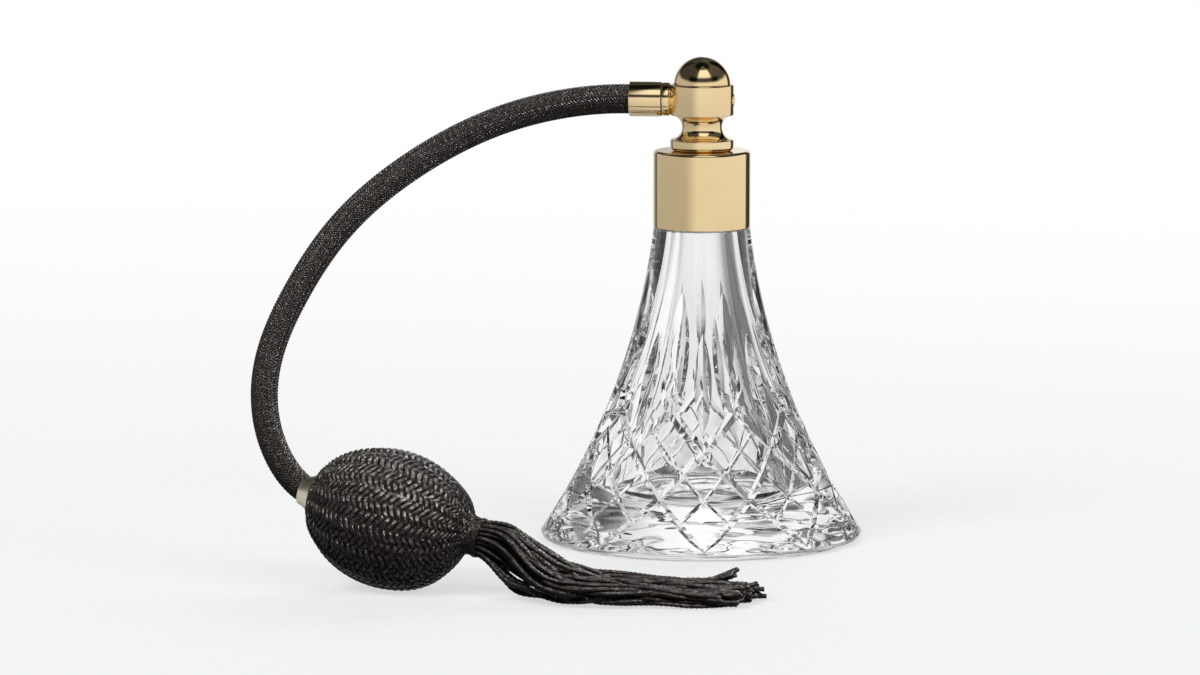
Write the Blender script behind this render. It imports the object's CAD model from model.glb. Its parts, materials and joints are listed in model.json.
from itertools import groupby
import json
import math

import bmesh
import bpy
import numpy as np
from mathutils import Matrix, Vector, geometry

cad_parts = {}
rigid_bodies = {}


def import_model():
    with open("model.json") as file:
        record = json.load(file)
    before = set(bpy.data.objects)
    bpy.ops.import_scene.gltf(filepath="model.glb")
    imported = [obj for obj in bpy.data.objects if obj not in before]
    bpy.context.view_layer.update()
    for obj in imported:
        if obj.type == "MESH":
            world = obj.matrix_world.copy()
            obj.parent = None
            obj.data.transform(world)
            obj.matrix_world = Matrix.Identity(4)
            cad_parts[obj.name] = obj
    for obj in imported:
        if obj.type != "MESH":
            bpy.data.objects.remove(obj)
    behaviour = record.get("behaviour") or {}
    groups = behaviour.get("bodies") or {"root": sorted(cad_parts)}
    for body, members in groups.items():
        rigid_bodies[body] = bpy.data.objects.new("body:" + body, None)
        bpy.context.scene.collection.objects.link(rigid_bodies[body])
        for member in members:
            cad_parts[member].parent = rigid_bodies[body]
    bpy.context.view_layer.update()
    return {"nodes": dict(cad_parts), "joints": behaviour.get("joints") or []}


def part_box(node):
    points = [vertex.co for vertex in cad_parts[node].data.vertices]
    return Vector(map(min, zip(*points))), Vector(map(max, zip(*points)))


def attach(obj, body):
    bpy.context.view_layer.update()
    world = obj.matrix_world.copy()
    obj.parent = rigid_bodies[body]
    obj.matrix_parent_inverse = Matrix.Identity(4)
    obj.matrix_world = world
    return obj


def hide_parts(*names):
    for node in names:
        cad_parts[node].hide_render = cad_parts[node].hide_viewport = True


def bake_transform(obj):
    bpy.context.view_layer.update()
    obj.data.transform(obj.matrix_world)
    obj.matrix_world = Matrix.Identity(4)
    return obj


# Perfume atomiser: a wedge-cut crystal cone with a gold collar and spray head, a braided silk hose
# and a netted squeeze bulb with a tassel. Lengths of the object are millimetres in the frame's own
# axes (+Z up, origin under the bottle), and its meshes are written in metres. Sizes of noise, bumps
# and the studio are metres.

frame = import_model()
MM = 0.001

# bottle: its outer wall is an arc from the foot's edge to the shoulder
FLANK_ROUND = 219.3
BASE_EDGE = (50.0, 2.0)
SHOULDER = (15.0, 96.9)
FOOT_RADIUS = 48.5
NECK_RADIUS = 10.0
NECK_TOP = 112.0
BORE_RADIUS = 6.6
CAVITY_TOP = 103.0
CAVITY_ROUND = 227.0
CAVITY_EDGE = (28.0, 15.0)
CAVITY_FLOOR = (17.0, 8.2)
CAVITY_FLOOR_ROUND = 15.0

# cuts: the lattice crosses at these heights, and each leaf has a lower end, upper end and half width
CUT_COUNT = 9
CUT_TURN = math.radians(-83.0)
CUT_FOOT = 2.2
CUT_CEILING = 84.0
WEDGE_SLOPE = 0.62
LATTICE_ROWS = (42.8, 31.5, 17.2, 3.0)
LATTICE_TOP = 49.5
LATTICE_HALF_WIDTHS = (0.0, 1.75, 1.55, 1.15, 1.1, 0.25)
FINE_HALF_WIDTH = 0.62
BLADE = (35.0, 66.5, 2.7)
HIGH_BLADE = (53.5, 79.0, 2.5)
NICK = (45.0, 53.0, 1.2)
LEAF_POINTS = 22
RIM_STEPS = 26
SHARP_CUT = 14
WAVY_TOP = 40.0
WAVY_DEPTH = 4.0

# spray axis and hose
SPRAY_HEIGHT = 136.7
HOSE_POINTS = [
    (-60.0, -7.5, 131.0), (-86.5, -24.0, 118.0), (-105.0, -44.0, 102.0),
    (-117.0, -65.0, 82.0), (-123.0, -84.5, 58.5), (-117.5, -95.5, 38.0),
]
HOSE_START = -23.5
HOSE_HIDDEN = 8.0
HOSE_RADIUS = (4.45, 3.85)
HOSE_CARRIERS = 24
HOSE_STITCH = 1.1
HOSE_YARN = 0.42
HOSE_COVER = 0.94
HOSE_CORE = (0.52, 1.6)

# bulb
BULB_HALF_LENGTH = 25.8
BULB_HALF_WIDTH = 20.5
BULB_CARRIERS = 32
TAIL_RISE = 3.0
THUMB_TRAVEL_START = 5.0
BULB_PLEAT = 0.5
NET_YARN = 0.72
NET_COVER = 0.93
RUBBER_WALL = 1.5


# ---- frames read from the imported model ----

def joint(name):
    return next(item for item in frame["joints"] if item["name"] == name)


def unit(vector):
    vector = np.array(vector, float)
    return vector / np.linalg.norm(vector)


def net_centre():
    """Centre of the bulb, from the boxes of the two pieces of net."""
    boxes = np.array([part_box(name) for name in ("net_cover", "net_thumb_pad")])
    return (boxes[:, 0].min(axis=0) + boxes[:, 1].max(axis=0)) / 2 / MM


BULB_UP = -unit(joint("bulb_squeeze")["axis"])
BULB_AXIS = -unit(joint("valve_lift")["axis"])
BULB_SIDE = np.cross(BULB_AXIS, BULB_UP)
BULB_CENTRE = net_centre()
X_AXIS = np.array([1.0, 0.0, 0.0])
Z_AXIS = np.array([0.0, 0.0, 1.0])
ON_SPRAY_AXIS = {"origin": (0.0, 0.0, SPRAY_HEIGHT), "up": Z_AXIS}


def bulb_point(along, up=0.0):
    """The place of a point on the bulb's middle plane, given along and up from its centre."""
    return BULB_CENTRE + BULB_AXIS * along + BULB_UP * up


# ---- mesh helpers ----

def run_length(points):
    """Distance along a path at each of its points."""
    steps = np.linalg.norm(np.diff(points, axis=0), axis=1)
    return np.concatenate([[0.0], np.cumsum(steps)])


def along_path(places, lengths, table):
    """Rows of a table of points, read off at places along the path."""
    return np.stack([np.interp(places, lengths, table[:, axis]) for axis in range(3)], axis=-1)


def make_object(name, points, faces, material, smooth_angle=None, uv=None):
    """A mesh object from points in millimetres; faces is a list of index tuples."""
    mesh = bpy.data.meshes.new(name)
    mesh.from_pydata([tuple(point) for point in np.asarray(points) * MM], [], faces)
    mesh.validate()
    mesh.update()
    mesh.shade_smooth()
    if smooth_angle is not None:
        mesh.set_sharp_from_angle(angle=math.radians(smooth_angle))
    if uv is not None:
        layer = mesh.uv_layers.new(name="thread")
        loops = np.zeros(len(mesh.loops), np.int32)
        mesh.loops.foreach_get("vertex_index", loops)
        layer.data.foreach_set("uv", np.asarray(uv, np.float32)[loops].ravel())
    obj = bpy.data.objects.new(name, mesh)
    bpy.context.scene.collection.objects.link(obj)
    mesh.materials.append(material)
    return obj


def arc_points(start, end, radius, steps):
    """Points of the shorter arc from start to end, end included; a negative radius bends right."""
    start = np.array(start, float)
    end = np.array(end, float)
    chord = end - start
    length = np.linalg.norm(chord)
    left = np.array([-chord[1], chord[0]]) / length
    rise = math.sqrt(max(radius ** 2 - (length / 2) ** 2, 0.0))
    centre = (start + end) / 2 + left * math.copysign(rise, radius)
    angle = math.atan2(*(start - centre)[::-1])
    turn = math.atan2(*(end - centre)[::-1]) - angle
    turn = (turn + math.pi) % (2 * math.pi) - math.pi
    angles = angle + turn * np.arange(1, steps + 1) / steps
    return [tuple(centre + abs(radius) * np.array([math.cos(a), math.sin(a)])) for a in angles]


def traced(*moves):
    """An outline of corners (r, z) and of arcs (r, z, bend radius, steps), which end at (r, z)."""
    outline = []
    for move in moves:
        if len(move) == 2:
            outline.append(move)
        else:
            outline += arc_points(outline[-1], move[:2], *move[2:])
    return outline


def skin(rows, closed=True):
    """Faces between neighbouring rows of point numbers; a row of one number is a pole."""
    faces = []
    for number in range(len(rows) if closed else len(rows) - 1):
        lower = rows[number]
        upper = rows[(number + 1) % len(rows)]
        if len(lower) == len(upper) == 1:
            continue
        around = max(len(lower), len(upper))
        for step in range(around):
            corners = [row[place % len(row)] for row, place in (
                (lower, step), (lower, (step + 1) % around), (upper, (step + 1) % around), (upper, step))]
            faces.append(tuple(dict.fromkeys(corners)))
    return faces


def lathe_mesh(outline, segments, closed=True):
    """Points and faces of an outline of (radius, height) turned about local Z."""
    points = []
    rows = []
    for radius, height in outline:
        count = segments if radius > 1e-6 else 1
        rows.append(range(len(points), len(points) + count))
        for step in range(count):
            angle = 2 * math.pi * step / segments
            points.append((radius * math.cos(angle), radius * math.sin(angle), height))
    return np.array(points), skin(rows, closed)


def place(points, origin, axis, up):
    """Moves local points so that local +Z lies along axis and local +X along up."""
    axis = unit(axis)
    up = unit(np.array(up) - axis * np.dot(up, axis))
    side = np.cross(axis, up)
    return np.asarray(origin) + points @ np.array([up, side, axis])


def turned(name, outline, material, origin=(0, 0, 0), axis=Z_AXIS, up=X_AXIS, segments=160, sharp=28):
    """A turned piece; its outline is a closed loop of (radius, height)."""
    points, faces = lathe_mesh(outline, segments)
    return make_object(name, place(points, origin, axis, up), faces, material, smooth_angle=sharp)


def shell(name, outer, inner, material):
    """A hollow form between two grids of points, whose rows run along it and columns round it."""
    rows = np.concatenate([outer, inner[::-1]])
    count, around = rows.shape[:2]
    numbers = np.arange(count * around).reshape(count, around).tolist()
    return make_object(name, rows.reshape(-1, 3), skin(numbers), material)


def surface_grid(surface, length, rows, around):
    """Points and normals of a surface(s, phi) on an even grid."""
    phi = 2 * math.pi * np.arange(around) / around
    points, normals, _ = surface(*np.meshgrid(np.linspace(*length, rows), phi, indexing="ij"))
    return points, normals


def belongs(piece, slot, nodes, body, second=None, **blending):
    """Ties a piece to its body, or to two bodies that it bends between, and to the pieces it stands for."""
    if second is None:
        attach(piece, body)
    else:
        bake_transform(piece)
    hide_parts(*nodes)


def rounded(corners, radius, steps=5):
    """An outline with every corner listed as (r, z) or (r, z, own radius) rounded over."""
    outline = []
    count = len(corners)
    for number, corner in enumerate(corners):
        here = np.array(corner[:2], float)
        before = np.array(corners[number - 1][:2], float) - here
        after = np.array(corners[(number + 1) % count][:2], float) - here
        size = corner[2] if len(corner) > 2 else radius
        reach = min(size, 0.45 * np.linalg.norm(before), 0.45 * np.linalg.norm(after))
        if reach < 1e-4 or here[0] < 1e-6:
            outline.append(tuple(here))
            continue
        first = here + unit(before) * reach
        last = here + unit(after) * reach
        for step in range(steps + 1):
            t = step / steps
            outline.append(tuple((1 - t) ** 2 * first + 2 * t * (1 - t) * here + t ** 2 * last))
    return outline


# ---- materials ----

class Shader:
    """A short way to build a node tree: each call adds a node and returns its first output."""

    def __init__(self, owner, output="ShaderNodeOutputMaterial"):
        owner.use_nodes = True
        self.owner = owner
        self.tree = owner.node_tree
        self.tree.nodes.clear()
        self.out = self.tree.nodes.new(output)

    def node(self, kind, inputs=None, output=0, **settings):
        node = self.tree.nodes.new(kind)
        for key, value in settings.items():
            setattr(node, key, value)
        for key, value in (inputs or {}).items():
            socket = node.inputs[key]
            if isinstance(value, bpy.types.NodeSocket):
                self.tree.links.new(value, socket)
            else:
                socket.default_value = value
        return node.outputs[output]

    def math(self, operation, a, b=0.0, c=0.0):
        return self.node("ShaderNodeMath", {0: a, 1: b, 2: c}, operation=operation)

    def position(self):
        return self.node("ShaderNodeTexCoord", output=3)

    def uv(self):
        return self.node("ShaderNodeUVMap", uv_map="thread")

    def noise(self, scale, detail=3.0, roughness=0.5, vector=None):
        vector = vector if vector is not None else self.position()
        inputs = {"Vector": vector, "Scale": scale, "Detail": detail, "Roughness": roughness}
        return self.node("ShaderNodeTexNoise", inputs)

    def spread(self, value, low, high, from_low=0.0, from_high=1.0):
        inputs = {"Value": value, "From Min": from_low, "From Max": from_high, "To Min": low, "To Max": high}
        return self.node("ShaderNodeMapRange", inputs)

    def mix(self, factor, a, b):
        inputs = {0: factor, 6: a, 7: b}
        return self.node("ShaderNodeMix", inputs, output=2, data_type="RGBA")

    def bump(self, height, strength, distance):
        return self.node("ShaderNodeBump", {"Height": height, "Strength": strength, "Distance": distance})

    def tinted(self, value, low, high, colour, tint):
        """Runs from a colour to its tint as the value goes from low to high."""
        return self.mix(self.spread(value, 0.0, 1.0, low, high), colour, tint)

    def principled(self, inputs):
        return self.finish(self.node("ShaderNodeBsdfPrincipled", inputs))

    def finish(self, surface):
        self.tree.links.new(surface, self.out.inputs["Surface"])
        return self.owner


def material_shader(name):
    return Shader(bpy.data.materials.new(name))


def rgba(red, green, blue):
    return (red, green, blue, 1.0)


def gold(name, colour, tint, roughness):
    """Polished plate: slow tint drift, faint polishing lines and fingerprints in the roughness."""
    s = material_shader(name)
    haze = s.noise(60.0, 4.0)
    scratches = s.noise(900.0, 2.0, vector=s.node(
        "ShaderNodeMapping", {"Vector": s.position(), "Scale": (1.0, 1.0, 0.06)}))
    base = s.tinted(haze, 0.35, 0.7, colour, tint)
    rough = s.math("ADD", s.spread(haze, roughness * 0.7, roughness * 1.5), s.spread(scratches, 0.0, 0.03))
    normal = s.bump(scratches, 0.035, 0.00002)
    return s.principled({"Base Color": base, "Metallic": 1.0, "Roughness": rough, "Normal": normal})


def turned_brass():
    """Raw turned brass with rings left by the tool."""
    s = material_shader("turned_brass")
    rings = s.node("ShaderNodeTexWave", {"Vector": s.position(), "Scale": 900.0, "Distortion": 0.6}, output=1)
    rings.node.bands_direction = "Z"
    tarnish = s.noise(220.0, 4.0)
    return s.principled({
        "Base Color": s.tinted(tarnish, 0.4, 0.7, rgba(0.71, 0.53, 0.25), rgba(0.50, 0.34, 0.14)),
        "Metallic": 1.0, "Roughness": s.spread(tarnish, 0.22, 0.45), "Normal": s.bump(rings, 0.25, 0.00004),
    })


def moulded(name, colour, dark, roughness, grain=1400.0, metallic=0.0):
    """Moulded plastic, rubber or fibre: fine grain, mottled colour and uneven sheen."""
    s = material_shader(name)
    mottle = s.noise(180.0, 4.0)
    fine = s.noise(grain, 2.0)
    return s.principled({
        "Base Color": s.tinted(mottle, 0.35, 0.7, colour, dark), "Metallic": metallic,
        "Roughness": s.spread(mottle, roughness * 0.85, roughness * 1.15),
        "Normal": s.bump(fine, 0.3, 0.00003),
    })


def crystal(name, scale, depth):
    """Lead crystal: clear, with slow waves of a given depth in metres left by the mould."""
    s = material_shader(name)
    ripple = s.noise(scale, 1.5)
    return s.principled({
        "Base Color": rgba(0.985, 0.99, 0.99), "Roughness": s.spread(ripple, 0.0, 0.006), "IOR": 1.55,
        "Transmission Weight": 1.0, "Normal": s.bump(ripple, 1.0, depth),
    })


def clear_tube():
    """Thin clear tube that shows only as faint edges."""
    s = material_shader("clear_tube")
    edge = s.node("ShaderNodeLayerWeight", {"Blend": 0.25}, output=1)
    streaks = s.noise(300.0, 2.0)
    gloss = s.node("ShaderNodeBsdfPrincipled", {
        "Base Color": rgba(0.92, 0.94, 0.94), "Roughness": s.spread(streaks, 0.08, 0.2),
    })
    clear = s.node("ShaderNodeBsdfTransparent", {"Color": rgba(0.99, 0.99, 0.99)})
    share = s.math("MULTIPLY", s.math("POWER", edge, 3.0), 0.35)
    return s.finish(s.node("ShaderNodeMixShader", {0: share, 1: clear, 2: gloss}))


def silk(name, plies, ply_bump, sheen, glint):
    """Black artificial silk; the thread coordinate runs along each yarn and across it.

    Fine filaments lie along the yarn and plies wind round it, so light breaks along the twist.
    """
    s = material_shader(name)
    along = s.node("ShaderNodeSeparateXYZ", {0: s.uv()})
    across = along.node.outputs[1]
    wind = s.math("ADD", s.math("MULTIPLY", along, plies), across)
    ply = s.math("ABSOLUTE", s.math("SINE", s.math("MULTIPLY", wind, math.pi)))
    stretched = s.math("MULTIPLY", along, 0.8)
    strand = s.node("ShaderNodeCombineXYZ", {0: stretched, 1: s.math("MULTIPLY", wind, 9.0)})
    filaments = s.noise(6.0, 3.0, vector=strand)
    patches = s.noise(90.0, 3.0)
    glints = s.noise(820.0, 2.0)
    height = s.math("ADD", s.math("MULTIPLY", ply, ply_bump), s.math("MULTIPLY", filaments, 0.35))
    base = s.tinted(filaments, 0.3, 0.75, rgba(0.0006, 0.0005, 0.0005), rgba(0.0042, 0.0034, 0.0029))
    base = s.mix(s.spread(patches, 0.0, 0.5, 0.4, 0.8), base, rgba(0.0019, 0.0015, 0.0013))
    return s.principled({
        "Base Color": base, "Roughness": s.spread(filaments, 0.27, 0.45),
        "Specular IOR Level": s.spread(glints, 0.02, glint, 0.40, 0.68),
        "Specular Tint": rgba(1.0, 0.93, 0.87), "Sheen Weight": sheen, "Sheen Roughness": 0.35,
        "Sheen Tint": rgba(0.50, 0.43, 0.38), "Normal": s.bump(height, 0.9, 0.00016),
    })


GOLD = gold("gold_plate", rgba(0.93, 0.735, 0.43), rgba(0.90, 0.69, 0.38), 0.07)
PALE_GOLD = gold("pale_gold", rgba(1.0, 0.95, 0.77), rgba(0.98, 0.91, 0.70), 0.34)
BRASS = turned_brass()
CRYSTAL = crystal("crystal", 55.0, 0.00006)
WAVY_CRYSTAL = crystal("wavy_crystal", 48.0, 0.0013)
CLEAR = clear_tube()
PLASTIC = moulded("liner_plastic", rgba(0.72, 0.70, 0.66), rgba(0.60, 0.58, 0.54), 0.4)
VALVE_PLASTIC = moulded("valve_plastic", rgba(0.66, 0.66, 0.64), rgba(0.52, 0.52, 0.50), 0.35)
SEAL = moulded("seal_rubber", rgba(0.03, 0.03, 0.03), rgba(0.012, 0.012, 0.012), 0.6)
RUBBER = moulded("black_rubber", rgba(0.010, 0.009, 0.009), rgba(0.005, 0.005, 0.005), 0.65)
FIBRE = moulded("fibre", rgba(0.16, 0.06, 0.035), rgba(0.09, 0.03, 0.02), 0.8, grain=2600.0)
STEEL = moulded("steel_ball", rgba(0.62, 0.62, 0.64), rgba(0.5, 0.5, 0.52), 0.18, metallic=1.0)
HOSE_SILK = silk("hose_silk", 0.9, 0.5, 0.05, 0.10)
NET_SILK = silk("net_silk", 0.5, 0.9, 0.015, 0.36)
CORD_SILK = silk("cord_silk", 0.25, 0.6, 0.01, 0.15)

NODE_MATERIALS = {
    "neck_ring": BRASS, "neck_gasket": SEAL, "neck_plug": BRASS, "thread_liner": PLASTIC,
    "stem_washer": BRASS, "stem_nut": BRASS, "dip_tube": CLEAR, "liquid_jet": BRASS,
    "bulb_connector": BRASS, "intake_valve_body": VALVE_PLASTIC, "valve_retainer": VALVE_PLASTIC,
    "intake_valve_ball": STEEL, "connector_washer": FIBRE,
}


def dress_nodes():
    """Gives each CAD piece that stays its own finish."""
    for name, material in NODE_MATERIALS.items():
        mesh = frame["nodes"][name].data
        mesh.materials.clear()
        mesh.materials.append(material)


# ---- bottle ----

class Flank:
    """The hollow outer flank of the bottle, with a coordinate v that keeps angles true.

    v grows by height along the wall divided by radius, so a wedge of one width stays one width
    when its half width is divided by the radius.
    """

    def __init__(self):
        self.z = np.linspace(CUT_FOOT, CUT_CEILING, 400)
        start = np.array(BASE_EDGE)
        end = np.array(SHOULDER)
        chord = end - start
        length = np.linalg.norm(chord)
        right = np.array([chord[1], -chord[0]]) / length
        self.centre = (start + end) / 2 + right * math.sqrt(FLANK_ROUND ** 2 - (length / 2) ** 2)
        self.r = self.radius(self.z)
        steps = np.hypot(np.diff(self.z), np.diff(self.r)) / (self.r[1:] + self.r[:-1]) * 2
        self.v = np.concatenate([[0.0], np.cumsum(steps)])

    def radius(self, z):
        return self.centre[0] - np.sqrt(FLANK_ROUND ** 2 - (np.asarray(z) - self.centre[1]) ** 2)

    def v_of(self, z):
        return np.interp(z, self.z, self.v)

    def z_of(self, v):
        return np.interp(v, self.v, self.z)

    def radius_at(self, v):
        return np.interp(v, self.v, self.r)

    def point(self, u, v, depth):
        """Point of the wall at angle u and height v, sunk by a depth square to the wall."""
        z = self.z_of(v)
        r = self.radius(z)
        normal = np.stack([self.centre[0] - r, self.centre[1] - z], axis=-1)
        normal = normal / np.linalg.norm(normal, axis=-1, keepdims=True)
        r = r - depth * normal[..., 0]
        z = z - depth * normal[..., 1]
        return np.stack([r * np.cos(u), r * np.sin(u), z], axis=-1)


class Cut:
    """One wedge cut: a centre line of (u, v) points with a half width in millimetres at each."""

    def __init__(self, flank, line, widths):
        self.line = np.array(line, float)
        self.widths = np.array(widths, float)
        scale = self.widths / flank.radius_at(self.line[:, 1])
        along = np.gradient(self.line, axis=0)
        along /= np.linalg.norm(along, axis=1, keepdims=True)
        across = np.stack([-along[:, 1], along[:, 0]], axis=1)
        self.left = self.line + across * scale[:, None]
        self.right = self.line - across * scale[:, None]

    def depth(self, points, radii):
        """Depth of this wedge below each (u, v) point."""
        deepest = np.zeros(len(points))
        for number in range(len(self.line) - 1):
            start = self.line[number]
            step = self.line[number + 1] - start
            t = np.clip((points - start) @ step / (step @ step), 0.0, 1.0)
            nearest = start + t[:, None] * step
            distance = np.linalg.norm(points - nearest, axis=1) * radii
            width = self.widths[number] + t * (self.widths[number + 1] - self.widths[number])
            deepest = np.maximum(deepest, (width - distance) * WEDGE_SLOPE)
        return deepest


def leaf_widths(count, widest, lean):
    """Half widths of a blade cut, pointed at both ends; lean moves the widest place."""
    t = np.linspace(0.0, 1.0, count) ** lean
    return widest * np.sin(math.pi * t) ** 0.85


def wedge_cuts(flank):
    """All cuts near one sector: lattice, fine lattice, blades and the small nicks over the crossings."""
    half = math.pi / CUT_COUNT
    heights = [flank.v_of(z) for z in LATTICE_ROWS]
    cuts = []
    for shift in range(-3, 4):
        for side in (-1, 1):
            u = [side * half * (number - 1) + 2 * half * shift for number in range(4)]
            knots_v = [flank.v_of(LATTICE_TOP)] + heights
            knots_u = [u[0] - side * half * 0.4] + u
            line_v = np.linspace(knots_v[0], knots_v[-1], 40)
            line_u = np.interp(-line_v, -np.array(knots_v), knots_u)
            places = [knots_v[0], knots_v[0] - 0.10, heights[1], heights[2], heights[3] + 0.06, heights[3]]
            widths = np.interp(-line_v, -np.array(places), LATTICE_HALF_WIDTHS)
            cuts.append(Cut(flank, np.stack([line_u, line_v], axis=1), widths))
            start = (heights[0] + heights[1]) / 2
            end = (heights[2] + heights[3]) / 2
            fine_v = np.linspace(start, end, 26)
            fine_u = np.interp(-fine_v, -np.array(heights), np.array(u) + side * half)
            fine_widths = np.full(len(fine_v), FINE_HALF_WIDTH)
            cuts.append(Cut(flank, np.stack([fine_u, fine_v], axis=1), fine_widths))
        column = 2 * half * shift
        for angle, (low, high, widest) in (
            (column, BLADE), (column + half, HIGH_BLADE), (column + half, NICK),
        ):
            line_v = np.linspace(flank.v_of(low), flank.v_of(high), LEAF_POINTS)
            line = np.stack([np.full(LEAF_POINTS, angle), line_v], axis=1)
            cuts.append(Cut(flank, line, leaf_widths(LEAF_POINTS, widest, 0.9)))
    return cuts


def cut_sector(flank):
    """Points (u, v), their depths and the triangles of one ninth of the wall; creases are edges."""
    half = math.pi / CUT_COUNT
    low = 0.0
    high = flank.v[-1]
    scale = 100.0
    points = []
    edges = []

    def add_line(line):
        first = len(points)
        points.extend(tuple(point) for point in line)
        edges.extend((first + n, first + n + 1) for n in range(len(line) - 1))

    def in_sector(place):
        return abs(place[0]) <= half + 0.12 and low < place[1] < high

    rim_u = np.linspace(-half, half, RIM_STEPS + 1)
    add_line([(u, low) for u in rim_u])
    add_line([(u, high) for u in rim_u])
    side_v = np.linspace(low, high, 90)
    for edge_u in (-half, half):
        add_line([(edge_u, v) for v in side_v])
    v = low + 0.02
    row = 0
    while v < high - 0.02:
        step = 1.5 / flank.radius_at(v)
        count = max(4, int(2 * half / step))
        offset = 0.5 if row % 2 else 0.0
        for number in range(1, count):
            u = -half + 2 * half * (number + offset - 0.25) / count
            points.append((u, v))
        v += step * 0.9
        row += 1
    cuts = [cut for cut in wedge_cuts(flank) if abs(cut.line[:, 0]).min() < half * 1.6]
    for cut in cuts:
        for line in (cut.line, cut.left, cut.right):
            for inside, run in groupby(line, in_sector):
                run = list(run)
                if inside and len(run) > 1:
                    add_line(run)
    first, second, third, last = LATTICE_ROWS
    crossings = [(0.0, second), (half, first), (-half, first), (half, third), (-half, third), (0.0, last)]
    fine = [(half, second), (-half, second), (0.0, third)]
    for places, reach in ((crossings, 3.2), (fine, 1.1)):
        for u, z in places:
            centre_v = flank.v_of(z)
            size = reach / flank.radius_at(centre_v)
            add_line([(u, centre_v - size * 0.85), (u, centre_v), (u, centre_v + size * 0.85)])
            add_line([(u - size, centre_v), (u, centre_v), (u + size, centre_v)])
    flat = [Vector((u * scale, v * scale)) for u, v in points]
    result = geometry.delaunay_2d_cdt(flat, edges, [], 0, 1e-3)
    uv = np.array([tuple(point) for point in result[0]]) / scale
    radii = flank.radius_at(uv[:, 1])
    depth = np.zeros(len(uv))
    for cut in cuts:
        depth = np.maximum(depth, cut.depth(uv, radii))
    depth[(uv[:, 1] < low + 1e-5) | (uv[:, 1] > high - 1e-5)] = 0.0
    keep = []
    for face in result[2]:
        middle = uv[face, 0].mean()
        heights = uv[face, 1]
        if abs(middle) < half and heights.min() > low - 1e-6 and heights.max() < high + 1e-6:
            keep.append(face)
    return uv, depth, keep


def smooth_wall(mesh, flank):
    """Gives the uncut wall the normals of the true flank, so that it refracts without ripples."""
    points = np.zeros(len(mesh.vertices) * 3)
    mesh.vertices.foreach_get("co", points)
    points = points.reshape(-1, 3) / MM
    radius = np.hypot(points[:, 0], points[:, 1])
    away = np.stack([flank.centre[0] - radius, flank.centre[1] - points[:, 2]], axis=1)
    distance = np.linalg.norm(away, axis=1)
    on_wall = (np.abs(distance - FLANK_ROUND) < 0.005) & (points[:, 2] > CUT_FOOT - 0.1)
    away /= distance[:, None]
    share = away[:, 0] / np.maximum(radius, 1e-6)
    exact = np.stack([share * points[:, 0], share * points[:, 1], away[:, 1]], axis=1)
    normals = np.zeros((len(mesh.loops), 3))
    for polygon in mesh.polygons:
        corners = list(polygon.vertices)
        if on_wall[corners].all():
            normals[polygon.loop_start:polygon.loop_start + len(corners)] = exact[corners]
    mesh.normals_split_custom_set([tuple(normal) for normal in normals])


def glass_bottle():
    """The whole crystal: cut wall, rounded foot, plain neck and the cavity inside."""
    flank = Flank()
    uv, depth, faces = cut_sector(flank)
    segments = RIM_STEPS * CUT_COUNT
    sector = 2 * math.pi / CUT_COUNT
    used = sorted({index for face in faces for index in face})
    renumber = {index: number for number, index in enumerate(used)}
    faces = [tuple(renumber[index] for index in face) for face in faces]
    uv = uv[used]
    depth = depth[used]
    mesh = bmesh.new()

    def add(points, polygons):
        verts = [mesh.verts.new(tuple(point)) for point in points * MM]
        for polygon in polygons:
            mesh.faces.new([verts[index] for index in polygon])

    for number in range(CUT_COUNT):
        turn = CUT_TURN + sector * number
        add(flank.point(uv[:, 0] + turn, uv[:, 1], depth), faces)
    foot = traced((0.0, 0.0), (FOOT_RADIUS * 0.5, 0.0), (FOOT_RADIUS, 0.0), (*BASE_EDGE, 2.2, 6))
    foot.append((float(flank.radius(CUT_FOOT)), CUT_FOOT))
    top = [(float(flank.radius(z)), z) for z in np.linspace(CUT_CEILING, SHOULDER[1] - 0.5, 8)]
    top += rounded([
        (SHOULDER[0] + 0.08, SHOULDER[1] - 0.5, 0.0), (*SHOULDER, 0.3),
        (NECK_RADIUS, SHOULDER[1] + 0.05, 0.2), (NECK_RADIUS, NECK_TOP, 0.5),
        (BORE_RADIUS, NECK_TOP, 0.5), (BORE_RADIUS, CAVITY_TOP, 0.0),
    ], 0.3)[1:]
    top += traced(
        (BORE_RADIUS, CAVITY_TOP), (*CAVITY_EDGE, CAVITY_ROUND, 40),
        (*CAVITY_FLOOR, -CAVITY_FLOOR_ROUND, 10), (CAVITY_FLOOR[0] * 0.5, CAVITY_FLOOR[1]),
        (0.0, CAVITY_FLOOR[1]),
    )[1:]
    start = CUT_TURN - math.pi / CUT_COUNT
    for outline in (foot, top):
        points, polygons = lathe_mesh(outline, segments, closed=False)
        around = np.array(Matrix.Rotation(start, 3, "Z"))
        add(points @ around.T, polygons)
    bmesh.ops.remove_doubles(mesh, verts=mesh.verts, dist=0.02 * MM)
    bmesh.ops.recalc_face_normals(mesh, faces=mesh.faces)
    data = bpy.data.meshes.new("crystal_bottle")
    mesh.to_mesh(data)
    mesh.free()
    data.shade_smooth()
    data.set_sharp_from_angle(angle=math.radians(SHARP_CUT))
    smooth_wall(data, flank)
    data.materials.append(CRYSTAL)
    data.materials.append(WAVY_CRYSTAL)
    for polygon in data.polygons:
        height = polygon.center.z / MM
        reach = math.hypot(polygon.center.x, polygon.center.y) / MM
        if height < WAVY_TOP and reach < float(flank.radius(max(height, CUT_FOOT))) - WAVY_DEPTH:
            polygon.material_index = 1
    bottle = bpy.data.objects.new("crystal_bottle", data)
    bpy.context.scene.collection.objects.link(bottle)
    belongs(bottle, "crystal", ["glass_bottle"], "bottle")


# ---- gold pieces ----

def gold_piece(name, node, body, outline, material=GOLD, slot="gold_plate", **placing):
    piece = turned(name, outline, material, **placing)
    belongs(piece, slot, [node], body)


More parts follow.
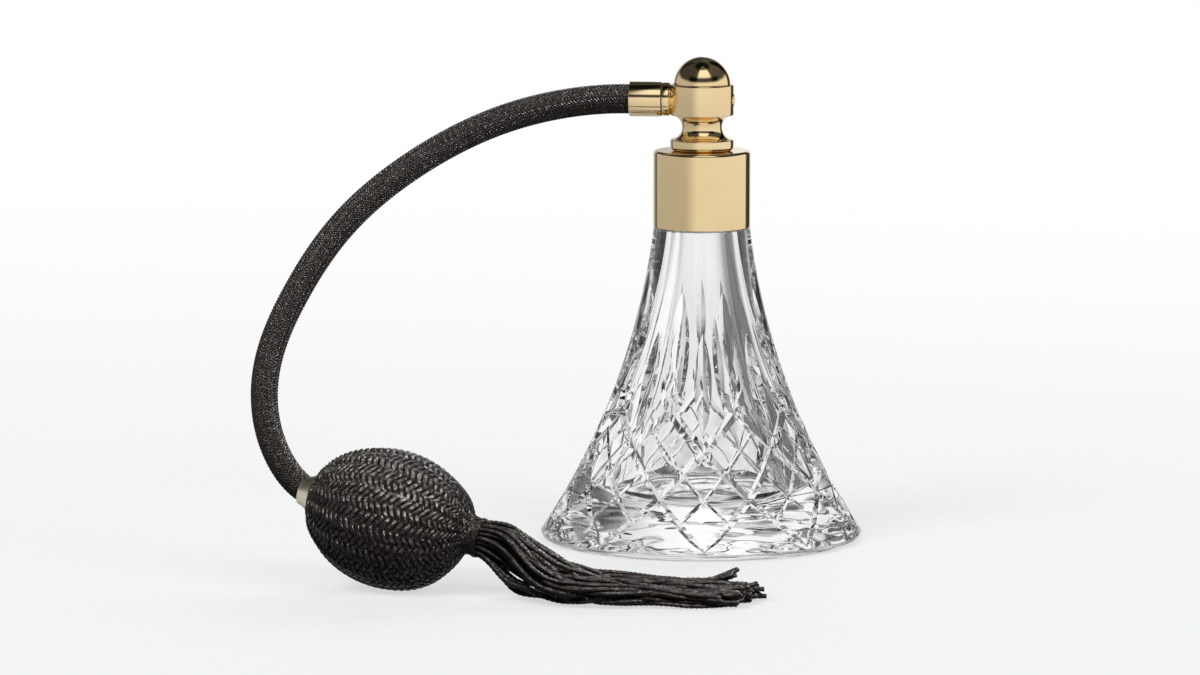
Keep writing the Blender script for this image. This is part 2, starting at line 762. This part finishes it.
def collar():
    low, high = (np.array(corner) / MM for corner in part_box("collar_shell"))
    radius = high[0]
    outline = rounded([
        (radius - 1.0, low[2], 0.15), (radius, low[2], 0.25), (radius, high[2], 1.2),
        (5.25, high[2], 0.1), (5.25, high[2] - 1.0, 0.05), (radius - 1.0, high[2] - 1.0, 0.1),
    ], 0.2, 8)
    gold_piece("collar_sleeve", "collar_shell", "collar", outline, segments=220)


def spray_head():
    """Flange, waist and barrel, with the stem that hangs in the neck."""
    radius = np.array(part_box("spray_head_body")[1])[0] / MM
    base = 121.05
    outline = traced(
        (3.0, 104.5), (3.0, base), (radius - 1.1, base), (radius, base + 1.1, 1.1, 8),
        (radius, 124.1), (radius - 0.3, 124.42, 0.32, 4), (6.18, 128.2, -3.78, 16),
        (radius - 0.25, 131.93, -3.78, 16), (radius, 132.2, 0.3, 4),
        (radius, 141.05), (radius - 0.45, 141.5, 0.45, 5),
        (7.0, 141.5), (7.0, 139.5), (3.6, 139.5), (3.6, 124.0), (1.65, 124.0), (1.65, 104.5),
    )
    gold_piece("head_turning", "spray_head_body", "head", outline, segments=200)


def dome():
    radius = 8.8
    centre = 141.2
    outline = traced(
        (0.0, 139.6), (6.9, 139.6), (6.9, 141.52), (radius - 0.05, 141.52), (radius, 141.75, 0.4, 2))
    for angle in np.linspace(math.asin(0.55 / radius), math.pi / 2, 33)[1:]:
        outline.append((radius * math.cos(angle), centre + radius * math.sin(angle)))
    gold_piece("dome_turning", "dome_cap", "head", outline, segments=160)


def nozzle():
    outline = rounded([
        (0.3, 7.6, 0.0), (1.0, 7.5, 0.0), (1.85, 7.5, 0.05), (1.85, 10.02, 0.14), (0.75, 10.02, 0.1),
        (0.3, 9.7, 0.05),
    ], 0.05, 3)
    gold_piece("nozzle_disc", "nozzle_insert", "head", outline, axis=X_AXIS, segments=64, **ON_SPRAY_AXIS)


def connector():
    """Neck, flared ring and tail of the side spigot, along -X."""
    outline = traced(
        (1.2, 5.0), (3.0, 5.0), (3.0, 8.62), (4.35, 8.62), (4.35, 8.9), (4.05, 9.3, -1.2, 5),
        (4.75, 9.85, -0.9, 6), (5.2, 10.3, 0.45, 5), (5.2, 12.0), (5.02, 12.22, 0.22, 3),
        (2.0, 12.22), (2.0, 21.8), (1.2, 21.8),
    )
    gold_piece("connector_turning", "hose_connector", "head", outline, axis=-X_AXIS, segments=128,
               **ON_SPRAY_AXIS)


def crimp_sleeve():
    outline = rounded([
        (4.95, 12.47, 0.0), (5.4, 12.47, 0.25), (5.4, 22.5, 0.22), (4.62, 22.5, 0.12), (4.62, 14.0, 0.05),
        (1.98, 14.0, 0.02), (1.98, 12.47, 0.02),
    ], 0.1, 5)
    gold_piece("crimp_sleeve", "hose_ferrule", "head", outline, axis=-X_AXIS, segments=128, **ON_SPRAY_AXIS)


def bulb_ring():
    """Flared pale ring between the hose and the bulb, mouth rolled outwards."""
    outline = traced(
        (4.0, -28.6), (4.35, -28.6, -0.18, 5), (4.5, -27.6), (5.0, -26.4), (5.75, -25.2), (6.2, -24.2),
        (6.25, -22.95), (5.9, -22.95), (5.85, -24.2), (5.4, -25.2), (4.65, -26.4), (4.15, -27.6),
    )
    gold_piece("bulb_ring", "bulb_ferrule", "bulb", outline, PALE_GOLD, "pale_gold",
               origin=bulb_point(0), axis=BULB_AXIS, up=BULB_UP, segments=128, sharp=45)


# ---- yarn ----

def yarn_tubes(paths, normals, half_widths, half_heights, sides, lobes=0, wind=0.0):
    """Rings swept along many yarns at once.

    paths is (yarns, samples, 3); normals point out of the braid; sizes are (yarns, samples).
    Returns points, faces and the (along, across) thread coordinate of every point.
    """
    yarns, samples, _ = paths.shape
    tangents = np.gradient(paths, axis=1)
    tangents /= np.linalg.norm(tangents, axis=2, keepdims=True)
    across = np.cross(tangents, normals)
    across /= np.linalg.norm(across, axis=2, keepdims=True)
    out = np.cross(across, tangents)
    steps = np.linalg.norm(np.diff(paths, axis=1), axis=2)
    along = np.concatenate([np.zeros((yarns, 1)), np.cumsum(steps, axis=1)], axis=1)
    angles = 2 * math.pi * np.arange(sides) / sides
    shape = np.ones((yarns, samples, sides))
    if lobes:
        twist = angles[None, None, :] + along[:, :, None] * wind
        shape = 1.14 - 0.34 * (1 - np.abs(np.cos(twist * lobes / 2)))
    width = half_widths[:, :, None] * np.cos(angles) * shape
    height = half_heights[:, :, None] * np.sin(angles) * shape
    spread_across = across[:, :, None, :] * width[..., None]
    spread_out = out[:, :, None, :] * height[..., None]
    points = paths[:, :, None, :] + spread_across + spread_out
    coordinate = np.zeros((yarns, samples, sides, 2), np.float32)
    coordinate[..., 0] = along[:, :, None]
    coordinate[..., 1] = np.abs(np.arange(sides) / sides * 2 - 1)
    index = np.arange(yarns * samples * sides).reshape(yarns, samples, sides)
    here = index[:, :-1]
    ahead = index[:, 1:]
    quads = np.stack([here, np.roll(here, -1, axis=2), np.roll(ahead, -1, axis=2), ahead], axis=-1)
    faces = [tuple(face) for face in quads.reshape(-1, 4).tolist()]
    faces += [tuple(row[::-1]) for row in index[:, 0].tolist()]
    faces += [tuple(row) for row in index[:, -1].tolist()]
    return points.reshape(-1, 3), faces, coordinate.reshape(-1, 2)


def braid(direction, surface, lengths, turns, carriers, thickness, spread, samples_per_crossing=2):
    """One direction of a two-over two-under braid on a surface.

    surface(s, phi) gives points and outward normals; turns(s) is how far a yarn has wound at s;
    spread is the share of the free width that a yarn fills.
    """
    low, high = lengths
    fine = np.linspace(low, high, 4000)
    wound = turns(fine)
    crossings = carriers * (wound - wound[0]) / math.pi
    count = int(crossings[-1] * samples_per_crossing) + 2
    position = np.linspace(0.0, crossings[-1], count)
    s = np.interp(position, crossings, fine)
    theta = np.interp(s, fine, wound)
    order = carriers * theta / math.pi
    yarn = np.arange(carriers)[:, None]
    phi = 2 * math.pi * yarn / carriers + direction * theta[None, :]
    wave = direction * np.cos(2 * math.pi * (2 * yarn + direction * order[None, :] - 0.5) / 4)
    wave = np.clip(wave * 1.25, -1.0, 1.0)
    s_grid = np.broadcast_to(s[None, :], phi.shape)
    base, normal, radius = surface(s_grid, phi)
    slope = np.gradient(theta, s) * radius[0]
    lean = np.cos(np.arctan(slope))[None, :]
    pitch = 2 * math.pi * radius / carriers * lean
    half_width = spread * pitch / 2
    thick = np.minimum(thickness, pitch * 0.55)
    paths = base + normal * (wave * thick * 0.5 - thick * 0.55)[..., None]
    return yarn_tubes(paths, normal, half_width, thick * 0.5, 6)


def braid_pair(name, material, *shape):
    """Both directions of a braid, as two pieces; name has a place for the direction."""
    pair = []
    for tag, direction in (("cw", 1), ("ccw", -1)):
        points, faces, uv = braid(direction, *shape)
        pair.append(make_object(name.format(tag), points, faces, material, uv=uv))
    return pair


def flexing(pieces, replaced, first, second, start, end):
    """Bends pieces of yarn and rubber between two bodies."""
    for piece in pieces:
        slot = "black_rubber" if piece.data.materials[0] == RUBBER else "black_silk"
        belongs(piece, slot, replaced.get(piece.name, []), first, second, start=start, end=end)


# ---- hose ----

class Hose:
    """Centre line of the hose with a frame that doesn't twist."""

    def __init__(self):
        points = [(HOSE_START, 0.0, SPRAY_HEIGHT)] + HOSE_POINTS + [tuple(bulb_point(-24.0))]
        points = np.array(points)
        curve = self.spline(run_length(points), points, -X_AXIS, BULB_AXIS)
        inside = HOSE_START + HOSE_HIDDEN * (1 - np.linspace(0, 1, 40)[:-1])
        lead = np.array([[x, 0.0, SPRAY_HEIGHT] for x in inside])
        self.points = np.concatenate([lead, curve])
        self.s = run_length(self.points)
        self.length = self.s[-1]
        self.tangents = np.gradient(self.points, self.s, axis=0)
        self.tangents /= np.linalg.norm(self.tangents, axis=1, keepdims=True)
        normal = Z_AXIS
        normals = []
        for tangent in self.tangents:
            normal = normal - tangent * (normal @ tangent)
            normal = normal / np.linalg.norm(normal)
            normals.append(normal)
        self.normals = np.array(normals)
        self.sides = np.cross(self.tangents, self.normals)

    @staticmethod
    def spline(knots, points, first, last):
        """Cubic through the points, with a given direction at each end."""
        count = len(knots)
        gaps = np.diff(knots)
        matrix = np.zeros((count, count))
        right = np.zeros((count, 3))
        matrix[0, 0] = matrix[-1, -1] = 1.0
        right[0] = first
        right[-1] = last
        slopes = np.diff(points, axis=0) / gaps[:, None]
        for number in range(1, count - 1):
            before, after = gaps[number - 1:number + 1]
            matrix[number, number - 1:number + 2] = after, 2 * (before + after), before
            right[number] = 3 * (after * slopes[number - 1] + before * slopes[number])
        slopes = np.linalg.solve(matrix, right)
        curve = []
        for number in range(count - 1):
            gap = gaps[number]
            t = np.linspace(0.0, 1.0, 80, endpoint=number == count - 2)[:, None]
            left_share = 2 * t ** 3 - 3 * t ** 2 + 1
            between = left_share * points[number] + (1 - left_share) * points[number + 1]
            lean_left = (t ** 3 - 2 * t ** 2 + t) * gap * slopes[number]
            lean_right = (t ** 3 - t ** 2) * gap * slopes[number + 1]
            curve.append(between + lean_left + lean_right)
        return np.concatenate(curve)

    def at(self, table, s):
        return along_path(s, self.s, table)

    def place_of(self, point):
        """Length along the hose of the place nearest a point."""
        return self.s[np.argmin(np.linalg.norm(self.points - np.array(point), axis=1))]

    def surface(self, s, phi):
        share = s / self.length
        radius = HOSE_RADIUS[0] + (HOSE_RADIUS[1] - HOSE_RADIUS[0]) * share
        pleat = np.clip((share - 0.45) / 0.5, 0.0, 1.0)
        radius = radius * (1 + 0.045 * pleat * np.cos(5 * phi + 0.8 * np.sin(s / 31.0)))
        out = self.at(self.normals, s) * np.cos(phi)[..., None]
        out = out + self.at(self.sides, s) * np.sin(phi)[..., None]
        return self.at(self.points, s) + out * radius[..., None], out, radius


def hose_pieces():
    """Braid in two lengths and two yarn directions; each length bends at one hinge.

    The rubber tube inside is seen only as darkness between the yarns.
    """
    hose = Hose()
    hinges = [joint(name) for name in ("hose_bend_upper", "hose_bend_lower")]
    pivots = [hose.place_of(np.array(hinge["pos_m"]) / MM) for hinge in hinges]
    middle = (pivots[0] + pivots[1]) / 2
    reach = (pivots[1] - pivots[0]) / 2 * 0.96
    twist = math.pi / (HOSE_CARRIERS * HOSE_STITCH) * 2

    def turns(s):
        return s * twist

    lengths = {
        "upper": (0.0, middle, "head", "hose_middle", pivots[0]),
        "lower": (middle, hose.length, "hose_middle", "bulb", pivots[1]),
    }
    replaced = {
        "hose_braid_cw_upper": ["hose_braid_upper"], "hose_braid_ccw_upper": ["hose_braid_middle"],
        "hose_braid_cw_lower": ["hose_braid_lower"], "hose_core_lower": ["hose_tube_lower"],
        "hose_core_upper": ["hose_tube_upper", "hose_tube_middle"],
    }
    for place_name, (low, high, first, second, pivot) in lengths.items():
        start = hose.at(hose.points, np.array(pivot - reach)) * MM
        end = hose.at(hose.points, np.array(pivot + reach)) * MM
        pieces = braid_pair(f"hose_braid_{{}}_{place_name}", HOSE_SILK, hose.surface, (low, high), turns,
                            HOSE_CARRIERS, HOSE_YARN, HOSE_COVER)
        points, out = surface_grid(hose.surface, (low, high), 160, 32)
        outer, inner = (points - out * inset for inset in HOSE_CORE)
        pieces.append(shell(f"hose_core_{place_name}", outer, inner, RUBBER))
        flexing(pieces, replaced, first, second, start, end)
        for piece in pieces:
            piece.visible_glossy = False


# ---- bulb ----

class Bulb:
    """Outline of the netted bulb from the ring at the hose to the gathered tail."""

    def __init__(self, inset=0.0, neck=5.3):
        length = BULB_HALF_LENGTH - inset
        width = BULB_HALF_WIDTH - inset
        start = math.acos(min(0.999, (6.35 - inset * 0.2) / width))
        angles = np.linspace(-start, math.acos(8.2 / width), 160)
        along = length * np.sin(angles)
        radius = width * np.cos(angles)
        radius = radius * (1 + 0.035 * np.sin(angles))
        last = np.array([along[-1], radius[-1]])
        tangent = last - np.array([along[-2], radius[-2]])
        tangent = tangent / np.linalg.norm(tangent)
        end = np.array([28.2, neck - inset])
        t = np.linspace(0.0, 1.0, 30)[1:, None]
        control = last + tangent * 2.6
        control_end = end - np.array([2.2, 0.0])
        tail = (1 - t) ** 3 * last + 3 * t * (1 - t) ** 2 * control
        tail = tail + 3 * t ** 2 * (1 - t) * control_end + t ** 3 * end
        self.along = np.concatenate([along, tail[:, 0]])
        self.radius = np.concatenate([radius, tail[:, 1]])
        steps = np.hypot(np.diff(self.along), np.diff(self.radius))
        self.s = np.concatenate([[0.0], np.cumsum(steps)])
        self.length = self.s[-1]
        lean = np.radians(np.interp(self.s / self.length, [0.0, 0.25, 0.5, 0.8, 1.0], [54, 61, 63, 58, 40]))
        wound = np.tan(lean) / self.radius
        self.theta = np.concatenate([[0.0], np.cumsum((wound[1:] + wound[:-1]) / 2 * steps)])

    def turns(self, s):
        return np.interp(s, self.s, self.theta)

    def surface(self, s, phi):
        along = np.interp(s, self.s, self.along)
        radius = np.interp(s, self.s, self.radius)
        steep = np.arctan(np.interp(s, self.s, np.gradient(self.radius, self.along)))
        rise = TAIL_RISE * np.clip((along - 12.0) / 14.0, 0.0, 1.0) ** 2
        bunch = np.clip(1.0 - s / self.length / 0.62, 0.0, 1.0) * np.clip(s / 4.0, 0.0, 1.0)
        radius = radius + BULB_PLEAT * bunch * np.cos(BULB_CARRIERS * phi / 2 - math.pi / 4)
        ring = BULB_UP * np.cos(phi)[..., None] + BULB_SIDE * np.sin(phi)[..., None]
        points = bulb_point(along[..., None], rise[..., None]) + ring * radius[..., None]
        normal = ring * np.cos(steep)[..., None] - BULB_AXIS * np.sin(steep)[..., None]
        return points, normal, radius


def bulb_pieces():
    """Net in two yarn directions over a dark rubber bulb; all of it gives way under the thumb."""
    bulb = Bulb()
    start = bulb_point(0, THUMB_TRAVEL_START) * MM
    end = bulb_point(0, BULB_HALF_WIDTH - 1.0) * MM
    replaced = {
        "net_yarn_cw": ["net_cover"], "net_yarn_ccw": ["net_thumb_pad"],
        "rubber_form": ["rubber_bulb", "rubber_thumb_pad"],
    }
    pieces = braid_pair("net_yarn_{}", NET_SILK, bulb.surface, (0.0, bulb.length), bulb.turns,
                        BULB_CARRIERS, NET_YARN, NET_COVER, 3)
    wall = Bulb(inset=0.95, neck=4.9)
    points, normals = surface_grid(wall.surface, (0.0, wall.length), 90, 72)
    pieces.append(shell("rubber_form", points, points - normals * RUBBER_WALL, RUBBER))
    flexing(pieces, replaced, "bulb", "thumb_pad", start, end)


# ---- tassel ----

def wound_thread(name, node, low, high, radius, thread):
    """A thread wound in a close coil round the tail."""
    turns = int((high - low) / (thread * 1.9)) + 1
    t = np.linspace(0.0, 1.0, turns * 48 + 1)
    phi = 2 * math.pi * turns * t
    along = low + thread + (high - low - 2 * thread) * t
    swell = radius * (1 + 0.05 * np.sin(math.pi * t))
    ring = BULB_UP * np.cos(phi)[:, None] + BULB_SIDE * np.sin(phi)[:, None]
    path = bulb_point(along[:, None], TAIL_RISE) + ring * swell[:, None]
    size = np.full((1, len(t)), thread)
    points, faces, uv = yarn_tubes(path[None], ring[None], size, size, 8, lobes=3, wind=1.6)
    belongs(make_object(name, points, faces, CORD_SILK, uv=uv), "black_silk", [node], "bulb")


CORD_COUNT = 58
CORD_RADIUS = 0.66
CORD_STATIONS = 46
CORD_STEP = 0.42
CORD_SIDES = 8
CORD_PLIES = 2
CORD_WIND = 2.1
KNOT_REACH = 4.9
TASSEL_TIP = 28.0
STRAY_TIP = 22.0

# outline of the bundle, from the knot (0) to the tips (1)
BODY_SPOTS = [0.0, 0.1, 0.19, 0.26, 0.38, 0.58, 0.84, 1.0]
BODY_HALF_WIDTHS = [KNOT_REACH, 7.0, 9.8, 12.0, 14.0, 13.8, 12.6, 11.8]
BODY_MIDDLES = [-113.5, -116.0, -118.5, -120.5, -121.5, -120.0, -118.5]
TOP_SPOTS = [0.0, 0.05, 0.11, 0.2, 0.31, 0.44, 0.55, 0.71, 1.0]
TOP_HEIGHTS = [22.0, 21.0, 15.8, 11.2, 8.6, 7.4, 6.2, 5.2]
BOTTOM_SPOTS = [0.0, 0.05, 0.1, 0.17, 0.24, 1.0]
BOTTOM_HEIGHTS = [10.0, 7.0, 3.2, 0.0, 0.0]


def settle(yz, rounds):
    """Pushes the cords' cross-sections apart and up off the floor until none overlap."""
    for _ in range(rounds):
        delta = yz[:, None, :] - yz[None, :, :]
        distance = np.linalg.norm(delta, axis=2) + np.eye(len(yz)) * 100
        overlap = np.clip(2 * CORD_RADIUS - distance, 0.0, None)
        push = (delta / distance[..., None] * overlap[..., None] * 0.5).sum(axis=1)
        yz = yz + push * 0.6
        yz[:, 1] = np.maximum(yz[:, 1], CORD_RADIUS + 0.05)
    return yz


def cord_paths():
    """Paths of the cords: bundled at the knot, falling to the table and fanning out along it."""
    rng = np.random.default_rng(7)
    knot = bulb_point(29.0, TAIL_RISE)
    golden = math.pi * (3 - math.sqrt(5))
    order = np.arange(CORD_COUNT)
    ring = np.sqrt((order + 0.5) / CORD_COUNT) * KNOT_REACH
    start_x = knot[0] + ring * np.sin(golden * order) * 0.25
    side = ring * np.cos(golden * order) / KNOT_REACH
    level = (ring * np.sin(golden * order) / KNOT_REACH + 1) / 2
    end_x = TASSEL_TIP + 5.0 * side - 7.0 * rng.random(CORD_COUNT) ** 1.8
    drift = rng.normal(0.0, 1.0, CORD_COUNT)
    wave = rng.uniform(0, 2 * math.pi, CORD_COUNT)
    pace = rng.uniform(5.0, 11.0, CORD_COUNT)
    loose = level < 0.16
    stray = (side > 0.55) & (level > 0.5) & (rng.random(CORD_COUNT) < 0.6)
    end_x = np.where(stray, STRAY_TIP + 0.4 * drift, end_x)
    stations = np.linspace(0.0, 1.0, CORD_STATIONS)
    paths = np.zeros((CORD_COUNT, CORD_STATIONS, 3))
    centre_y = np.interp(stations, BODY_SPOTS, [knot[1]] + BODY_MIDDLES)
    half_width = np.interp(stations, BODY_SPOTS, BODY_HALF_WIDTHS)
    top = np.interp(stations, TOP_SPOTS, [knot[2] + KNOT_REACH] + TOP_HEIGHTS)
    bottom = np.interp(stations, BOTTOM_SPOTS, [knot[2] - KNOT_REACH] + BOTTOM_HEIGHTS)
    for number, t in enumerate(stations):
        sway = 0.22 * np.sin(t * pace + wave) * min(1.0, t * 4) + 0.16 * drift * t
        y = centre_y[number] + np.clip(side + sway, -1.1, 1.1) * half_width[number]
        lift = 0.14 * np.sin(t * pace * 1.3 + wave * 2) * min(1.0, t * 5)
        share = np.clip(level + lift, 0.0, 1.0)
        z = bottom[number] + CORD_RADIUS + share * (top[number] - bottom[number] - 2 * CORD_RADIUS)
        sag = math.exp(-((t - 0.13) / 0.07) ** 2)
        z = z - np.where(loose, 3.2 * (1.0 + 0.4 * drift) * sag, 0.0)
        y = y - np.where(loose, 2.2 * sag, 0.0)
        fling = max(0.0, (t - 0.75) / 0.25) ** 2
        y = y + np.where(stray, 3.0 * fling, 0.0)
        z = z + np.where(stray, 4.2 * fling, 0.0)
        paths[:, number, 0] = start_x + (end_x - start_x) * t
        paths[:, number, 1:] = settle(np.stack([y, z], axis=1), 40 if number else 20)
    for _ in range(2):
        paths[:, 1:-1] = paths[:, :-2] * 0.25 + paths[:, 1:-1] * 0.5 + paths[:, 2:] * 0.25
    return paths


def resample(paths, spacing):
    """Each path cut into even steps, all with the same number of samples."""
    lengths = [run_length(path) for path in paths]
    count = int(max(length[-1] for length in lengths) / spacing)
    result = []
    for length, path in zip(lengths, paths):
        result.append(along_path(np.linspace(0.0, length[-1], count), length, path))
    return np.array(result)


def tassel():
    """Twisted cords with a free end each, in two halves of the bundle."""
    paths = resample(cord_paths(), CORD_STEP)
    normals = np.broadcast_to(Z_AXIS, paths.shape).copy()
    size = np.full(paths.shape[:2], CORD_RADIUS)
    start = bulb_point(27.5, TAIL_RISE) * MM
    end = bulb_point(36.0, TAIL_RISE) * MM
    half = CORD_COUNT // 2
    halves = {
        "tassel_cords_front": (slice(0, half), ["tassel_cords"]),
        "tassel_cords_back": (slice(half, None), []),
    }
    for name, (rows, nodes) in halves.items():
        points, faces, uv = yarn_tubes(
            paths[rows], normals[rows], size[rows], size[rows], CORD_SIDES, lobes=CORD_PLIES, wind=CORD_WIND)
        piece = make_object(name, points, faces, CORD_SILK, uv=uv)
        belongs(piece, "black_silk", nodes, "bulb", "tassel", start=start, end=end)


# ---- stage ----

VIEW_AZIMUTH = math.radians(6.0)
CAMERA_DISTANCE = 1.9
CAMERA_HEIGHT = 0.316
AIM_RIGHT = -0.03165
AIM_HEIGHT = 0.0623
LENS = 184.7
FLOOR_REACH = 3000.0
FLOOR_LEVEL = -0.2 / FLOOR_REACH


def aim_at(obj, location, target):
    """Stands a camera or a light at a place, looking at another."""
    obj.location = location
    obj.rotation_euler = (Vector(target) - Vector(location)).to_track_quat("-Z", "Y").to_euler()
    bpy.context.scene.collection.objects.link(obj)


def camera():
    data = bpy.data.cameras.new("camera")
    data.lens = LENS
    data.sensor_width = 36.0
    data.clip_end = 20.0
    obj = bpy.data.objects.new("camera", data)
    right = Vector((math.cos(VIEW_AZIMUTH), math.sin(VIEW_AZIMUTH), 0.0))
    towards = Vector((math.sin(VIEW_AZIMUTH), -math.cos(VIEW_AZIMUTH), 0.0))
    location = towards * CAMERA_DISTANCE + Vector((0.0, 0.0, CAMERA_HEIGHT))
    aim_at(obj, location, right * AIM_RIGHT + Vector((0.0, 0.0, AIM_HEIGHT)))
    bpy.context.scene.camera = obj


def area_light(name, location, size, energy, aim=(0.0, 0.0, 0.06), only=None):
    """A soft box; one that lights only some pieces also shines on them as a highlight."""
    data = bpy.data.lights.new(name, "AREA")
    data.shape = "RECTANGLE"
    data.size, data.size_y = size
    data.energy = energy
    obj = bpy.data.objects.new(name, data)
    obj.visible_glossy = only is not None
    obj.visible_transmission = False
    obj.light_linking.receiver_collection = only
    aim_at(obj, location, aim)


def floor():
    """A pale floor that fades into the white behind it."""
    s = material_shader("floor")
    near_point = (0.0, -0.25, 0.0)
    away = s.node("ShaderNodeVectorMath", {0: s.position(), 1: near_point}, output=1, operation="DISTANCE")
    back = s.spread(away, 0.0, 1.0, 0.0, 1.4)
    back.node.interpolation_type = "SMOOTHSTEP"
    tone = s.mix(back, rgba(0.84, 0.86, 0.86), rgba(1.0, 1.0, 1.0))
    grain = s.noise(25.0, 2.0)
    glow = s.node("ShaderNodeEmission", {"Color": tone, "Strength": 1.0})
    matte = s.node("ShaderNodeBsdfPrincipled", {"Base Color": tone, "Roughness": s.spread(grain, 0.5, 0.6)})
    share = s.math("MULTIPLY", s.math("SUBTRACT", 1.0, back), 0.28)
    s.finish(s.node("ShaderNodeMixShader", {0: share, 1: glow, 2: matte}))
    corners = [(x, y, FLOOR_LEVEL) for x, y in ((-1, -1), (1, -1), (1, 1), (-1, 1))]
    plane = make_object("floor", np.array(corners) * FLOOR_REACH, [(0, 1, 2, 3)], s.owner)
    plane.visible_glossy = False
    plane.visible_diffuse = False
    plane.visible_transmission = False


# Dark panels of the studio: light left, degrees round from the camera, degrees up, softness of sides.
MIRRORED_PANELS = (
    (0.62, (-200.0, -26.0), (-90.0, 90.0), 14.0),
    (0.05, (128.0, 156.0), (-60.0, 60.0), 3.0),
    (0.12, (-148.0, -136.0), (-60.0, 60.0), 3.0),
    (0.06, (-60.0, 75.0), (15.0, 34.0)),
    (0.10, (-200.0, 200.0), (68.0, 95.0)),
    (0.08, (-200.0, -22.0), (17.0, 95.0), 5.0),
    (0.08, (42.0, 200.0), (17.0, 95.0), 5.0),
)
SEEN_THROUGH_PANELS = (
    (0.04, (108.0, 146.0), (-70.0, -9.0), 5.0),
    (0.06, (-148.0, -120.0), (-70.0, -9.0), 5.0),
    (0.15, (92.0, 158.0), (-10.0, 34.0), 12.0),
    (0.20, (-85.0, -30.0), (-30.0, 50.0), 8.0),
    (0.12, (-150.0, 150.0), (52.0, 66.0)),
    (0.12, (-20.0, 45.0), (-80.0, -34.0), 8.0),
    (0.20, (-115.0, -85.0), (-80.0, -20.0), 8.0),
    (0.20, (65.0, 95.0), (-80.0, -20.0), 8.0),
)


def world():
    """White studio: clean white for the camera, and light and dark panels for reflections."""
    scene_world = bpy.data.worlds.new("studio")
    bpy.context.scene.world = scene_world
    s = Shader(scene_world, "ShaderNodeOutputWorld")
    direction = s.node("ShaderNodeTexCoord", output=0)
    from_camera = {"Vector": direction, "Angle": -VIEW_AZIMUTH}
    turned_to = s.node("ShaderNodeVectorRotate", from_camera, rotation_type="Z_AXIS")
    x, y, z = s.node("ShaderNodeSeparateXYZ", {0: turned_to}).node.outputs
    around = s.math("DEGREES", s.math("ARCTAN2", x, s.math("MULTIPLY", y, -1.0)))
    height = s.math("DEGREES", s.math("ARCSINE", z))

    def band(value, low, high, soft):
        rise = s.spread(value, 0.0, 1.0, low - soft, low + soft)
        fall = s.spread(value, 1.0, 0.0, high - soft, high + soft)
        return s.math("MULTIPLY", rise, fall)

    def dim(light, mask, level):
        return s.math("MULTIPLY", light, s.math("SUBTRACT", 1.0, s.math("MULTIPLY", mask, 1.0 - level)))

    def patch(light, level, sides, heights, soft=6.0):
        mask = s.math("MULTIPLY", band(around, *sides, soft), band(height, *heights, 4.0))
        return dim(light, mask, level)

    mirrored = s.spread(height, 0.75, 1.15, -30.0, 60.0)
    for panel in MIRRORED_PANELS:
        mirrored = patch(mirrored, *panel)
    seen_through = s.spread(height, 0.62, 1.02, -50.0, 0.0)
    clutter = s.spread(s.noise(3.2, 1.0, vector=direction), 0.0, 1.0, 0.50, 0.60)
    seen_through = dim(seen_through, s.math("MULTIPLY", clutter, band(height, -90.0, -16.0, 5.0)), 0.10)
    seen_through = dim(seen_through, s.math("MULTIPLY", clutter, band(height, 9.0, 90.0, 5.0)), 0.12)
    for panel in SEEN_THROUGH_PANELS:
        seen_through = patch(seen_through, *panel)
    path = s.node("ShaderNodeLightPath")
    refracted = path.node.outputs["Is Transmission Ray"]
    light = s.node("ShaderNodeMix", {0: refracted, 2: mirrored, 3: seen_through}, data_type="FLOAT")
    tone = s.node("ShaderNodeMix", {0: path, 2: light, 3: 1.0}, data_type="FLOAT")
    s.finish(s.node("ShaderNodeBackground", {"Color": rgba(1.0, 1.0, 1.0), "Strength": tone}))


def lighting():
    """Three soft boxes for everything, and three that only draw glints on the silk."""
    area_light("key", (-0.9, -1.0, 1.3), (0.8, 0.8), 26.0)
    area_light("fill", (1.1, -0.9, 0.9), (0.7, 0.9), 14.0)
    area_light("back", (0.2, 1.2, 1.0), (1.2, 0.5), 16.0)
    yarns = bpy.data.collections.new("yarns")
    for obj in bpy.context.scene.objects:
        if obj.type == "MESH" and {HOSE_SILK, NET_SILK, CORD_SILK} & set(obj.data.materials):
            yarns.objects.link(obj)
    area_light("silk_key", (0.45, -0.95, 0.95), (0.22, 0.22), 110.0, aim=(-0.08, -0.1, 0.03), only=yarns)
    area_light("silk_top", (-0.45, -0.35, 1.3), (0.3, 0.3), 60.0, aim=(-0.1, -0.05, 0.08), only=yarns)
    area_light("silk_back", (0.5, 0.95, 0.8), (0.3, 0.3), 45.0, aim=(-0.09, -0.06, 0.06), only=yarns)
    bpy.context.scene.view_settings.view_transform = "Standard"
    cycles = bpy.context.scene.cycles
    cycles.max_bounces = 24
    cycles.transmission_bounces = 24
    cycles.glossy_bounces = 8
    cycles.transparent_max_bounces = 16
    cycles.caustics_reflective = False
    cycles.caustics_refractive = True


dress_nodes()
glass_bottle()
collar()
spray_head()
dome()
nozzle()
connector()
crimp_sleeve()
bulb_ring()
hose_pieces()
bulb_pieces()
wound_thread("binding_thread", "tail_binding", 25.9, 27.6, 5.2, 0.42)
wound_thread("knot_thread", "tassel_knot", 27.4, 30.2, 5.3, 0.5)
tassel()
camera()
floor()
world()
lighting()
